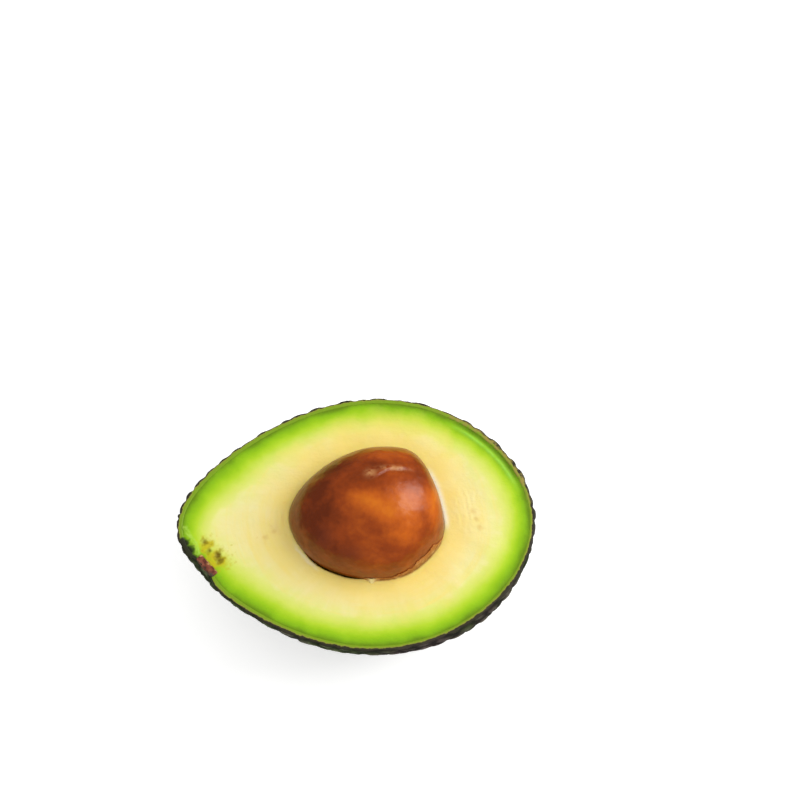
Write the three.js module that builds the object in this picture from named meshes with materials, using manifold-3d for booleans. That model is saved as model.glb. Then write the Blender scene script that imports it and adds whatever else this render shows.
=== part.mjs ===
// Half of a ripe avocado with its stone, cut lengthwise and lying on its back, in millimetres with +Z up.
// The stem end points along -X and the blossom end along +X. The cut face is level and looks up.
import * as THREE from "three";
import { ConvexHull } from "three/addons/math/ConvexHull.js";
import { mergeVertices } from "three/addons/utils/BufferGeometryUtils.js";
import Module from "manifold-3d";

// Fruit, measured to the floor between the pebbles of its skin
const HALF_LENGTH = 47.4;
const HALF_WIDTH = 34.3;
const DEPTH = 33.5;
const TAPER = 0.15; // how much fuller than the middle the blossom end is, and how much slimmer the neck
const PINCH = 0.15; // how much slimmer than an ellipsoid's both ends are
const LEAN = 0.9; // how far the blossom end stands off the middle line, towards +Y
const SWELL_AT = -44; // degrees, from +X to a side that swells out below the cut
const SWELL = 6; // what the swelling would be straight down, if it reached that far
const SWELL_REACH = 0.45; // as a sphere's angle
const REST_HEIGHT = 34.2; // from the surface that it lies on up to the cut

// Skin
const SKIN_THICKNESS = 0.9; // at the floor between pebbles
const PEBBLE_COUNT = 1100; // round the whole fruit
const PEBBLE_SCATTER = 0.8; // of the distance between neighbours
const PEBBLE_HEIGHT = 0.9;
const PEBBLE_SPREAD = 0.35; // share by which the lowest pebble falls short of the highest
const SHOULDER = 0.8; // height of a pebble's shoulder, as a share of its top's
const SHOULDER_AT = 0.55; // how far out the shoulder is, from the top to a corner of the valleys
const VALLEY_SPREAD = 0.4; // how high the shallowest corner of the valleys is, as a share of pebble height
const WORN_REACH = 0.3; // how far round the resting spot the valleys are filled, as a sphere's angle
const SKIN_GAP = 0.3; // between skin and flesh, and round the stem button

// Stone: egg-shaped, with a small tip at the stem end and a flat base with a rounded edge at the other
const STONE_RADIUS = 18.95; // mean
const STONE_X = 3.4; // of its centre, from the middle of the fruit
const STONE_Y = 2.0;
const STONE_TURN = 8; // degrees, from +X to the middle of its blunt end
const STONE_LONG = 0.056; // share by which both ends reach out
const STONE_BLUNT = 0.042; // share by which the blunt end is flattened and the other drawn out
const TIP_AT = 179; // degrees, from +X
const TIP_RISE = 0.045; // share by which the tip stands out
const TIP_REACH = 0.3; // as an angle seen from the centre
const BASE_AT = 21; // degrees, from +X to the middle of the base
const BASE_EDGE = 0.06; // share by which the edge of the base stands out
const BASE_EDGE_AT = 0.62; // angle from the middle of the base to its edge
const BASE_EDGE_REACH = 0.28;
const HOLLOW_GAP = 0.35; // between stone and flesh

// Stem button, the woody disc where the fruit hung, cut through with the rest
const BUTTON_AT = 209; // degrees round the cut face
const BUTTON_RADIUS = 3.4;
const BUTTON_SUNK = 1.8;
const BUTTON_PROUD = 0.25;
const BUTTON_ROUNDING = 0.6;
const DIMPLE_DEPTH = 1.5; // of the skin round the button
const DIMPLE_REACH = 0.13; // as a sphere's angle

// Fineness
const SMOOTH_DETAIL = 8;
const STONE_DETAIL = 8;
const BUTTON_SIDES = 28;
const BUTTON_ROUND_STEPS = 3;
const CUTTER_SIZE = 300;

const GOLDEN_ANGLE = Math.PI * (3 - Math.sqrt(5));
const wasm = await Module();
wasm.setup();

// A repeatable number from 0 to 1 for each whole number n.
function chance(n) {
  const wave = Math.sin(n * 12.9898 + 4.1414) * 43758.5453;
  return wave - Math.floor(wave);
}

// 1 at 0, and falling off smoothly to both sides.
const bell = (x) => Math.exp(-x * x);

// Share of full width at u, which runs from -1 at the stem end to 1 at the blossom end.
const fullness = (u) => 1 + TAPER * u - PINCH * u * u;
const fullnessSlope = (u) => TAPER - 2 * PINCH * u;

// The unit direction at an angle round the cut face, in degrees from +X.
function roundTheCut(degrees) {
  const a = THREE.MathUtils.degToRad(degrees);
  return new THREE.Vector3(Math.cos(a), Math.sin(a), 0);
}

// The outward normal where direction s of a unit sphere lands on the fruit.
function fruitNormal(s) {
  const width = HALF_WIDTH * fullness(s.x);
  const narrowing = ((s.y * s.y + s.z * s.z) * fullnessSlope(s.x)) / fullness(s.x);
  const x = (s.x - (s.y * LEAN) / width - narrowing) / HALF_LENGTH;
  return new THREE.Vector3(x, s.y / width, s.z / (DEPTH * fullness(s.x))).normalize();
}

// The point where direction s of a unit sphere lands on the fruit, moved outward along the normal.
function fruitPoint(s, outward) {
  const dimple = DIMPLE_DEPTH * bell(s.angleTo(roundTheCut(BUTTON_AT)) / DIMPLE_REACH);
  const swell = SWELL * Math.max(0, -s.z) * bell(s.angleTo(roundTheCut(SWELL_AT)) / SWELL_REACH);
  const width = HALF_WIDTH * fullness(s.x);
  const onFloor = new THREE.Vector3(
    HALF_LENGTH * s.x,
    width * s.y + LEAN * s.x,
    DEPTH * fullness(s.x) * s.z,
  );
  return onFloor.addScaledVector(fruitNormal(s), outward + swell - dimple);
}

// The point of the stone in direction s from its centre, moved outward.
function stonePoint(s, outward) {
  const c = s.dot(roundTheCut(STONE_TURN));
  const ends = STONE_LONG * (2 * c * c - 1);
  const blunting = STONE_BLUNT * (4 * c * c * c - 3 * c);
  const tip = TIP_RISE * bell(s.angleTo(roundTheCut(TIP_AT)) / TIP_REACH);
  const edge = BASE_EDGE * bell((s.angleTo(roundTheCut(BASE_AT)) - BASE_EDGE_AT) / BASE_EDGE_REACH);
  const radius = STONE_RADIUS * (1 + ends - blunting + tip + edge) + outward;
  return new THREE.Vector3(STONE_X, STONE_Y, 0).addScaledVector(s, radius);
}

// Pebble centres: a golden spiral round the sphere, with each point scattered.
function pebbleCentres() {
  const spacing = Math.sqrt((4 * Math.PI) / PEBBLE_COUNT);
  const scatter = (n) => PEBBLE_SCATTER * spacing * (chance(n) - 0.5);
  const centres = [];
  for (let i = 0; i < PEBBLE_COUNT; i++) {
    const z = 1 - (2 * i + 1) / PEBBLE_COUNT;
    const ring = Math.sqrt(1 - z * z);
    const turn = GOLDEN_ANGLE * i;
    const centre = new THREE.Vector3(ring * Math.cos(turn), ring * Math.sin(turn), z);
    centre.add(new THREE.Vector3(scatter(3 * i), scatter(3 * i + 1), scatter(3 * i + 2)));
    centres.push(centre.normalize());
  }
  return centres;
}

// A point of the skin at a share of full pebble height. The valleys are filled round the resting spot.
function skinPoint(direction, share) {
  const s = direction.clone().normalize();
  const away = Math.acos(THREE.MathUtils.clamp(-s.z, -1, 1)) / WORN_REACH;
  const worn = 1 - THREE.MathUtils.smoothstep(away, 0.6, 1);
  return fruitPoint(s, PEBBLE_HEIGHT * THREE.MathUtils.lerp(share, 1, worn));
}

// The pebbled outside. Three neighbouring pebbles meet in a corner of the valleys, and two neighbours have
// the valley between two such corners in common. Each pebble has its top, a shoulder in the direction of
// each of its corners, and a slope from there down to the valleys.
function pebbledGeometry() {
  const pebbles = pebbleCentres();
  const faces = new ConvexHull().setFromPoints(pebbles).faces;
  const tops = new Map(pebbles.map((p, i) => [p, 1 - PEBBLE_SPREAD * chance(7 * i + 5)]));
  const depth = (i) => VALLEY_SPREAD * chance(5 * i + 2);
  const corners = new Map(faces.map((face, i) => [face, valleyCorner(face, depth(i))]));
  const shoulder = (pebble, face) =>
    skinPoint(pebble.clone().lerp(corners.get(face).direction, SHOULDER_AT), SHOULDER * tops.get(pebble));
  const points = [];
  for (const face of faces) {
    for (const edge of [face.edge, face.edge.next, face.edge.next.next]) {
      const pebble = edge.tail().point;
      const other = edge.twin.face;
      const [near, far] = [shoulder(pebble, other), shoulder(pebble, face)];
      points.push(skinPoint(pebble, tops.get(pebble)), near, far);
      points.push(near, corners.get(other).point, corners.get(face).point);
      points.push(near, corners.get(face).point, far);
    }
  }
  return new THREE.BufferGeometry().setFromPoints(points);
}

// The corner of the valleys between the three pebbles of a face, as a direction and a point of the skin.
function valleyCorner(face, share) {
  const direction = new THREE.Vector3();
  for (const edge of [face.edge, face.edge.next, face.edge.next.next]) {
    direction.add(edge.head().point);
  }
  direction.normalize();
  return { direction, point: skinPoint(direction, share) };
}

// A unit geodesic sphere whose points are moved by place(direction).
function roundGeometry(detail, place) {
  const geometry = new THREE.IcosahedronGeometry(1, detail);
  const position = geometry.getAttribute("position");
  const s = new THREE.Vector3();
  for (let i = 0; i < position.count; i++) {
    s.fromBufferAttribute(position, i).normalize();
    position.setXYZ(i, ...place(s).toArray());
  }
  return geometry;
}

// A closed geometry as a solid that can be joined and cut.
function solid(geometry) {
  const bare = geometry.clone();
  bare.deleteAttribute("normal");
  bare.deleteAttribute("uv");
  const merged = mergeVertices(bare);
  return new wasm.Manifold(
    new wasm.Mesh({
      numProp: 3,
      vertProperties: merged.getAttribute("position").array,
      triVerts: new Uint32Array(merged.index.array),
    }),
  );
}

function geometryOf(made) {
  const { vertProperties, triVerts } = made.getMesh();
  const geometry = new THREE.BufferGeometry();
  geometry.setAttribute("position", new THREE.BufferAttribute(vertProperties, 3));
  geometry.setIndex(new THREE.BufferAttribute(triVerts, 1));
  return geometry.toNonIndexed();
}

// What is left between the knife's cut and the resting surface.
function halved() {
  const slab = new THREE.BoxGeometry(CUTTER_SIZE, CUTTER_SIZE, REST_HEIGHT);
  return solid(slab.translate(0, 0, -REST_HEIGHT / 2));
}

// Puts a shape turned about +Y at the stem end, with +Y along the fruit's normal and 0 at the skin.
function atStemEnd(geometry) {
  const s = roundTheCut(BUTTON_AT);
  const turn = new THREE.Quaternion().setFromUnitVectors(new THREE.Vector3(0, 1, 0), fruitNormal(s));
  const at = fruitPoint(s, 0);
  return geometry.applyQuaternion(turn).translate(at.x, at.y, at.z);
}

function buttonGeometry() {
  const rim = BUTTON_RADIUS - BUTTON_ROUNDING;
  const profile = [new THREE.Vector2(0, -BUTTON_SUNK), new THREE.Vector2(BUTTON_RADIUS, -BUTTON_SUNK)];
  for (let k = 0; k <= BUTTON_ROUND_STEPS; k++) {
    const a = ((k / BUTTON_ROUND_STEPS) * Math.PI) / 2;
    const height = BUTTON_PROUD - BUTTON_ROUNDING * (1 - Math.sin(a));
    profile.push(new THREE.Vector2(rim + BUTTON_ROUNDING * Math.cos(a), height));
  }
  profile.push(new THREE.Vector2(0, BUTTON_PROUD - BUTTON_ROUNDING / 2));
  return atStemEnd(new THREE.LatheGeometry(profile, BUTTON_SIDES));
}

// The pocket that the button sits in, open to the outside.
function pocketGeometry() {
  const bottom = -BUTTON_SUNK - SKIN_GAP;
  const top = BUTTON_PROUD + BUTTON_RADIUS;
  const pocket = new THREE.CylinderGeometry(
    BUTTON_RADIUS + SKIN_GAP,
    BUTTON_RADIUS + SKIN_GAP,
    top - bottom,
    BUTTON_SIDES,
  );
  return atStemEnd(pocket.translate(0, (top + bottom) / 2, 0));
}

function fruitGeometry(outward) {
  return roundGeometry(SMOOTH_DETAIL, (s) => fruitPoint(s, outward));
}

function stoneGeometry(outward) {
  return roundGeometry(STONE_DETAIL, (s) => stonePoint(s, outward));
}

function part(name, geometry, color, roughness) {
  const material = new THREE.MeshStandardMaterial({ color, roughness, metalness: 0, flatShading: true });
  const mesh = new THREE.Mesh(geometry, material);
  mesh.name = name;
  return mesh;
}

const half = halved();
const pocket = solid(pocketGeometry());
const skin = solid(pebbledGeometry())
  .subtract(solid(fruitGeometry(-SKIN_THICKNESS)))
  .subtract(pocket)
  .intersect(half);
const flesh = solid(fruitGeometry(-SKIN_THICKNESS - SKIN_GAP))
  .subtract(solid(stoneGeometry(HOLLOW_GAP)))
  .subtract(pocket)
  .intersect(half);
const button = solid(buttonGeometry()).intersect(half);
const stone = stoneGeometry(0);

const avocado = new THREE.Group();
avocado.add(
  part("skin", geometryOf(skin), 0x26301c, 0.55),
  part("flesh", geometryOf(flesh), 0xe6df7c, 0.45),
  part("stone", stone, 0x7a3a10, 0.3),
  part("stem_button", geometryOf(button), 0x6a3a26, 0.8),
);

// The origin is under the middle of the half, at the surface that it lies on.
const box = new THREE.Box3().setFromObject(avocado);
const middle = box.getCenter(new THREE.Vector3());
for (const mesh of avocado.children) {
  mesh.position.set(-middle.x, -middle.y, REST_HEIGHT);
}

export default avocado;
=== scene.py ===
import math

import bmesh
import bpy
import numpy as np
from mathutils import Matrix, Vector, kdtree, noise


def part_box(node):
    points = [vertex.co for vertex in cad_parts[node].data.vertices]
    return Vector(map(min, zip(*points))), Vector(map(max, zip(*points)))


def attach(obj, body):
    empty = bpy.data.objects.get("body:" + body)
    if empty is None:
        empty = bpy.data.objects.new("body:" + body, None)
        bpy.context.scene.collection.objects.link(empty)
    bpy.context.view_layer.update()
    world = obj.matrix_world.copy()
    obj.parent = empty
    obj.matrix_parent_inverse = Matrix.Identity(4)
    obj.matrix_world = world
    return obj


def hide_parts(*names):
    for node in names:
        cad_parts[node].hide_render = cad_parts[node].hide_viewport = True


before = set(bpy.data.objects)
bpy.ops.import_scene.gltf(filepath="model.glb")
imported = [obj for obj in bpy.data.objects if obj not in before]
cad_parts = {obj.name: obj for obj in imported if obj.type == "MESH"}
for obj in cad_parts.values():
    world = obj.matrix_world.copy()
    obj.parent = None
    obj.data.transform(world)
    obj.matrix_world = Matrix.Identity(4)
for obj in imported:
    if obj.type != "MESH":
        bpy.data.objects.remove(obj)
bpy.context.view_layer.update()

# Lengths below are in millimetres unless they say otherwise, measured from the middle of the fruit in the
# cut face, with the stem end along -X and +Z up out of the cut.
MM = 0.001
DOWN = np.array([0.0, 0.0, -1.0])
CUT_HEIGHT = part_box("flesh")[1].z
FRUIT_MIDDLE = (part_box("flesh")[0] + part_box("flesh")[1]) / 2

# Fruit, to the floor between the pebbles
HALF_LENGTH = 47.4
HALF_WIDTH = 34.3
DEPTH = 33.5
TAPER = 0.15
PINCH = 0.15
LEAN = 0.9
SWELL_AT = -44
SWELL = 6
SWELL_REACH = 0.45

# Skin
SKIN_THICKNESS = 0.9
PEBBLE_COUNT = 1100
PEBBLE_SCATTER = 0.8
PEBBLE_HEIGHT = 0.9
PEBBLE_SPREAD = 0.35
SHOULDER_AT = 0.6
WORN_REACH = 0.3
TEMPLATE_HEIGHT = 0.026  # of a pebble on the unit sphere that the pebbles are first made on
PEBBLE_LEVEL = 2
GOLDEN_ANGLE = math.pi * (3 - math.sqrt(5))

# Stone
STONE_RADIUS = 18.95
STONE_MIDDLE = np.array([3.4, 2.0, 0.0])
STONE_TURN = 8
STONE_LONG = 0.056
STONE_BLUNT = 0.042
TIP_AT = 179
TIP_RISE = 0.045
TIP_REACH = 0.3
BASE_AT = 21
BASE_EDGE = 0.06
BASE_EDGE_AT = 0.62
BASE_EDGE_REACH = 0.28

# Stem button
BUTTON_AT = 209
BUTTON_RADIUS = 3.4
BUTTON_SUNK = 1.8
BUTTON_PROUD = 0.25
UNDER_BUTTON = 0.5  # how far skin and flesh drop away where the button covers them
DIMPLE_DEPTH = 1.5
DIMPLE_REACH = 0.13


def smoothstep(value, low, high):
    t = np.clip((value - low) / (high - low), 0, 1)
    return t * t * (3 - 2 * t)


def unit(vectors):
    return vectors / np.linalg.norm(vectors, axis=-1, keepdims=True)


def chance(n):
    """A repeatable number from 0 to 1 for each whole number n."""
    wave = np.sin(np.asarray(n, float) * 12.9898 + 4.1414) * 43758.5453
    return wave - np.floor(wave)


def bell(x):
    return np.exp(-(x**2))


def round_the_cut(degrees):
    a = np.radians(degrees)
    return np.stack([np.cos(a), np.sin(a), np.zeros_like(a)], axis=-1)


def angle_from(s, degrees):
    """The angle of each direction s from a direction round the cut, in radians."""
    return np.arccos(np.clip(s @ round_the_cut(degrees), -1, 1))


def below(around, down):
    """Directions round the cut, turned down by an angle in radians."""
    return around * math.cos(down) + np.array([0, 0, -math.sin(down)])


def fullness(s):
    """How thick the fruit is at each direction s, as a share: most towards the blossom end."""
    return 1 + TAPER * s[..., 0] - PINCH * s[..., 0] ** 2


def fruit_normal(s):
    slope = TAPER - 2 * PINCH * s[..., 0]
    width = HALF_WIDTH * fullness(s)
    narrowing = (s[..., 1] ** 2 + s[..., 2] ** 2) * slope / fullness(s)
    x = (s[..., 0] - s[..., 1] * LEAN / width - narrowing) / HALF_LENGTH
    return unit(np.stack([x, s[..., 1] / width, s[..., 2] / (DEPTH * fullness(s))], axis=-1))


def fruit_point(s, outward):
    """Where direction s of a unit sphere lands on the fruit, moved outward along the normal."""
    dimple = DIMPLE_DEPTH * bell(angle_from(s, BUTTON_AT) / DIMPLE_REACH)
    swell = SWELL * np.maximum(0, -s[..., 2]) * bell(angle_from(s, SWELL_AT) / SWELL_REACH)
    y = HALF_WIDTH * fullness(s) * s[..., 1] + LEAN * s[..., 0]
    floor_point = np.stack([HALF_LENGTH * s[..., 0], y, DEPTH * fullness(s) * s[..., 2]], axis=-1)
    return floor_point + fruit_normal(s) * (outward + swell - dimple)[..., None]


def stone_radius(s):
    c = s @ round_the_cut(STONE_TURN)
    ends = STONE_LONG * (2 * c**2 - 1)
    blunting = STONE_BLUNT * (4 * c**3 - 3 * c)
    tip = TIP_RISE * bell(angle_from(s, TIP_AT) / TIP_REACH)
    edge = BASE_EDGE * bell((angle_from(s, BASE_AT) - BASE_EDGE_AT) / BASE_EDGE_REACH)
    return STONE_RADIUS * (1 + ends - blunting + tip + edge)


def from_button_axis(points):
    """How far each point is from the stem button's axis, with points deeper than the button as far away."""
    s = round_the_cut(BUTTON_AT)
    along = points - fruit_point(s, np.float64(0))
    normal = fruit_normal(s)
    depth = along @ normal
    apart = np.linalg.norm(along - depth[..., None] * normal, axis=-1)
    return np.where(depth > 0.2 - BUTTON_SUNK, apart, HALF_LENGTH)


def noise_at(points, size, depth=3):
    """Smooth noise from about -1 to 1, with features of the given size."""
    return np.array([noise.fractal(Vector(p) / size, 1.0, 2.0, depth) for p in points])


def to_frame(points):
    place = np.array([FRUIT_MIDDLE.x, FRUIT_MIDDLE.y, CUT_HEIGHT])
    return points * MM + place


def new_object(name, vertices, faces, attributes=None):
    """A mesh object from vertices in metres, with one number a vertex for each attribute."""
    mesh = bpy.data.meshes.new(name)
    mesh.from_pydata(vertices.tolist(), [], faces)
    for label, values in (attributes or {}).items():
        layer = mesh.attributes.new(label, "FLOAT", "POINT")
        layer.data.foreach_set("value", np.asarray(values, np.float32))
    made = bpy.data.objects.new(name, mesh)
    bpy.context.scene.collection.objects.link(made)
    return made


def ring_faces(rings, count):
    """Quads between neighbouring rings of count vertices each, in the order that the rings are listed."""
    faces = []
    for r in range(rings - 1):
        low, high = r * count, (r + 1) * count
        for k in range(count):
            after = (k + 1) % count
            faces.append((low + k, low + after, high + after, high + k))
    return faces


def fan_faces(first, count, pole):
    """Triangles that close the ring of count vertices starting at first with one vertex at its pole."""
    return [(first + k, first + (k + 1) % count, pole) for k in range(count)]


def faces_outward(made):
    """Merges the doubles of a closed shell and turns its faces to point out."""
    mesh = bmesh.new()
    mesh.from_mesh(made.data)
    bmesh.ops.remove_doubles(mesh, verts=mesh.verts, dist=1e-7)
    bmesh.ops.recalc_face_normals(mesh, faces=mesh.faces)
    mesh.to_mesh(made.data)
    mesh.free()
    made.data.shade_smooth()


# Node trees


def add_node(tree, kind, inputs=None, **settings):
    """A node with its settings, and its inputs given by name or place as values or as links."""
    made = tree.nodes.new(kind)
    for name, value in settings.items():
        setattr(made, name, value)
    for key, value in (inputs or {}).items():
        socket = made.inputs[key]
        if isinstance(value, bpy.types.NodeSocket):
            tree.links.new(value, socket)
        else:
            socket.default_value = value
    return made


def calculate(tree, operation, first, second):
    return add_node(tree, "ShaderNodeMath", {0: first, 1: second}, operation=operation).outputs[0]


def times(tree, first, second):
    return calculate(tree, "MULTIPLY", first, second)


def scaled(tree, vector, share):
    return add_node(tree, "ShaderNodeVectorMath", {0: vector, "Scale": share}, operation="SCALE").outputs[0]


def stored(tree, name):
    """A number that a mesh holds at each of its vertices, for a geometry tree."""
    return add_node(tree, "GeometryNodeInputNamedAttribute", {"Name": name}, data_type="FLOAT").outputs[0]


def new_tree(name, sizes):
    """A geometry tree with inputs for the geometry, its material and each named size."""
    tree = bpy.data.node_groups.new(name, "GeometryNodeTree")
    tree.interface.new_socket("Geometry", in_out="INPUT", socket_type="NodeSocketGeometry")
    tree.interface.new_socket("Material", in_out="INPUT", socket_type="NodeSocketMaterial")
    for label, value in sizes.items():
        kind = "NodeSocketInt" if isinstance(value, int) else "NodeSocketFloat"
        socket = tree.interface.new_socket(label, in_out="INPUT", socket_type=kind)
        socket.default_value = value
    tree.interface.new_socket("Geometry", in_out="OUTPUT", socket_type="NodeSocketGeometry")
    return tree, tree.nodes.new("NodeGroupInput")


def end_tree(tree, source, geometry):
    realized = add_node(tree, "GeometryNodeRealizeInstances", {"Geometry": geometry})
    inputs = {"Geometry": realized.outputs[0], "Material": source.outputs["Material"]}
    finished = add_node(tree, "GeometryNodeSetMaterial", inputs)
    add_node(tree, "NodeGroupOutput", {"Geometry": finished.outputs[0]})


def run_tree(made, tree, material, **sizes):
    """Runs a geometry tree on an object and leaves its result as a plain mesh."""
    modifier = made.modifiers.new(tree.name, "NODES")
    modifier.node_group = tree
    sockets = {item.name: item.identifier for item in tree.interface.items_tree if item.in_out == "INPUT"}
    modifier[sockets["Material"]] = material
    for label, value in sizes.items():
        modifier[sockets[label.replace("_", " ").title()]] = value
    graph = bpy.context.evaluated_depsgraph_get()
    evaluated = made.evaluated_get(graph)
    mesh = bpy.data.meshes.new_from_object(evaluated, preserve_all_data_layers=True, depsgraph=graph)
    made.modifiers.remove(modifier)
    made.data = mesh
    return made


def pebbled_sphere_tree():
    """Pebble centres on a unit sphere become one closed pebbled sphere: the net of valleys between them is
    the dual of the hull round them, and each of its cells is raised to a narrower top and smoothed."""
    sizes = {"Height": TEMPLATE_HEIGHT, "Shoulder At": SHOULDER_AT, "Valley Spread": 0.3}
    tree, source = new_tree("pebbled_sphere", {**sizes, "Level": 2, "Seed": 3})
    centres = source.outputs["Geometry"]
    height = source.outputs["Height"]
    hull = add_node(tree, "GeometryNodeConvexHull", {"Geometry": centres})
    cells = add_node(tree, "GeometryNodeDualMesh", {"Mesh": hull.outputs[0]})
    position = add_node(tree, "GeometryNodeInputPosition").outputs[0]
    direction = add_node(tree, "ShaderNodeVectorMath", {0: position}, operation="NORMALIZE")
    seed = {"Seed": source.outputs["Seed"]}
    corner = add_node(tree, "FunctionNodeRandomValue", seed, data_type="FLOAT")
    raised = times(tree, corner.outputs["Value"], source.outputs["Valley Spread"])
    lift = add_node(tree, "ShaderNodeMath", {0: raised, 1: height, 2: 1.0}, operation="MULTIPLY_ADD")
    valley = scaled(tree, direction.outputs[0], lift.outputs[0])
    net = add_node(tree, "GeometryNodeSetPosition", {"Geometry": cells.outputs[0], "Position": valley})
    inputs = {"Geometry": centres, "Sample Position": position}
    nearest = add_node(tree, "GeometryNodeSampleNearest", inputs, domain="POINT")
    inputs = {"Geometry": centres, "Value": stored(tree, "top"), "Index": nearest.outputs[0]}
    top = add_node(tree, "GeometryNodeSampleIndex", inputs, data_type="FLOAT", domain="POINT")
    rise = times(tree, top.outputs[0], height)
    inputs = {"Mesh": net.outputs[0], "Offset Scale": rise, "Individual": True}
    pebbles = add_node(tree, "GeometryNodeExtrudeMesh", inputs, mode="FACES")
    shoulder = source.outputs["Shoulder At"]
    inputs = {"Geometry": pebbles.outputs[0], "Selection": pebbles.outputs["Top"], "Scale": shoulder}
    narrowed = add_node(tree, "GeometryNodeScaleElements", inputs, domain="FACE")
    inputs = {"Mesh": narrowed.outputs[0], "Level": source.outputs["Level"]}
    smooth = add_node(tree, "GeometryNodeSubdivisionSurface", inputs)
    end_tree(tree, source, smooth.outputs[0])
    return tree


def fine_relief_tree():
    """Moves a surface along its normal by two sizes of noise, by the share that its attribute relief says."""
    sizes = {"Coarse Size": 0.003, "Coarse Height": 0.0001, "Fine Size": 0.0007, "Fine Height": 0.00003}
    tree, source = new_tree("fine_relief", sizes)
    position = add_node(tree, "GeometryNodeInputPosition")
    heights = []
    for label in ("Coarse", "Fine"):
        scale = calculate(tree, "DIVIDE", 1.0, source.outputs[f"{label} Size"])
        place = {"Vector": position.outputs[0], "Scale": scale, "Detail": 2.0}
        waves = add_node(tree, "ShaderNodeTexNoise", place)
        centred = calculate(tree, "SUBTRACT", waves.outputs[0], 0.5)
        heights.append(times(tree, centred, source.outputs[f"{label} Height"]))
    both = calculate(tree, "ADD", *heights)
    masked = times(tree, both, stored(tree, "relief"))
    normal = add_node(tree, "GeometryNodeInputNormal")
    offset = scaled(tree, normal.outputs[0], masked)
    inputs = {"Geometry": source.outputs["Geometry"], "Offset": offset}
    moved = add_node(tree, "GeometryNodeSetPosition", inputs)
    end_tree(tree, source, moved.outputs[0])
    return tree


def roughened(made, material, coarse, fine):
    """A closed shell with two sizes of noise on its surface, each given as its size and height in metres."""
    faces_outward(made)
    sizes = dict(coarse_size=coarse[0], coarse_height=coarse[1], fine_size=fine[0], fine_height=fine[1])
    return run_tree(made, fine_relief_tree(), material, **sizes)


# Materials


def linear(red, green, blue):
    """A colour given as 0 to 255 on a screen, as the shader takes it."""
    shares = [red / 255, green / 255, blue / 255]
    return [((c + 0.055) / 1.055) ** 2.4 if c > 0.04045 else c / 12.92 for c in shares] + [1.0]


def new_material(name, settings):
    """A material, with the settings of its surface by name."""
    material = bpy.data.materials.new(name)
    material.use_nodes = True
    tree = material.node_tree
    surface = tree.nodes["Principled BSDF"]
    for label, value in settings.items():
        surface.inputs[label].default_value = value
    return material, tree, surface


def ramp(tree, value, stops):
    """A colour ramp over a value, from a list of places and colours, which are as on a screen."""
    made = add_node(tree, "ShaderNodeValToRGB", {"Fac": value})
    elements = made.color_ramp.elements
    while len(elements) < len(stops):
        elements.new(0.5)
    for element, (place, colour) in zip(elements, stops):
        element.position = place
        element.color = linear(*colour)
    return made.outputs["Color"]


def mix(tree, share, first, second):
    """From a first colour to a second by a share. A colour is a link or is given as on a screen."""
    made = tree.nodes.new("ShaderNodeMix")
    made.data_type = "RGBA"
    tree.links.new(share, made.inputs[0])
    for index, colour in ((6, first), (7, second)):
        if isinstance(colour, bpy.types.NodeSocket):
            tree.links.new(colour, made.inputs[index])
        else:
            made.inputs[index].default_value = linear(*colour)
    return made.outputs[2]


def ramp_over(tree, share, first, second, third):
    """From a first colour through a second at half the share to a third."""
    halfway = mix(tree, rescale(tree, share, 0.0, 0.5), first, second)
    return mix(tree, rescale(tree, share, 0.5, 1.0), halfway, third)


def spots(tree, size, detail=3.0, stretch=(1, 1, 1)):
    """Noise of a size in metres on the piece's own coordinates."""
    place = add_node(tree, "ShaderNodeTexCoord")
    mapped = add_node(tree, "ShaderNodeMapping", {"Vector": place.outputs["Object"], "Scale": stretch})
    settings = {"Vector": mapped.outputs[0], "Scale": 1 / size, "Detail": detail}
    return add_node(tree, "ShaderNodeTexNoise", settings).outputs[0]


def attribute(tree, name):
    return add_node(tree, "ShaderNodeAttribute", attribute_name=name).outputs["Fac"]


def rescale(tree, value, low, high, to_low=0.0, to_high=1.0):
    """A value's stretch from low to high, moved to another range and held at its ends."""
    inputs = {"Value": value, "From Min": low, "From Max": high, "To Min": to_low, "To Max": to_high}
    return add_node(tree, "ShaderNodeMapRange", inputs).outputs[0]


def bump(tree, surface, height, distance):
    """Adds a bump of a height in metres on top of those already there."""
    made = add_node(tree, "ShaderNodeBump", {"Height": height, "Distance": distance, "Strength": 1.0})
    before = surface.inputs["Normal"]
    if before.is_linked:
        tree.links.new(before.links[0].from_socket, made.inputs["Normal"])
    tree.links.new(made.outputs[0], before)


def streaks(tree, across, round_about):
    """Noise laid round the stone, by how often it changes in each mm from it and each radian round it."""
    away = times(tree, attribute(tree, "from_stone"), across)
    along_x = times(tree, attribute(tree, "facing_x"), round_about)
    along_y = times(tree, attribute(tree, "facing_y"), round_about)
    place = add_node(tree, "ShaderNodeCombineXYZ", {"X": along_x, "Y": along_y, "Z": away})
    settings = {"Vector": place.outputs[0], "Scale": 1.0, "Detail": 4.0}
    return add_node(tree, "ShaderNodeTexNoise", settings).outputs[0]


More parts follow.
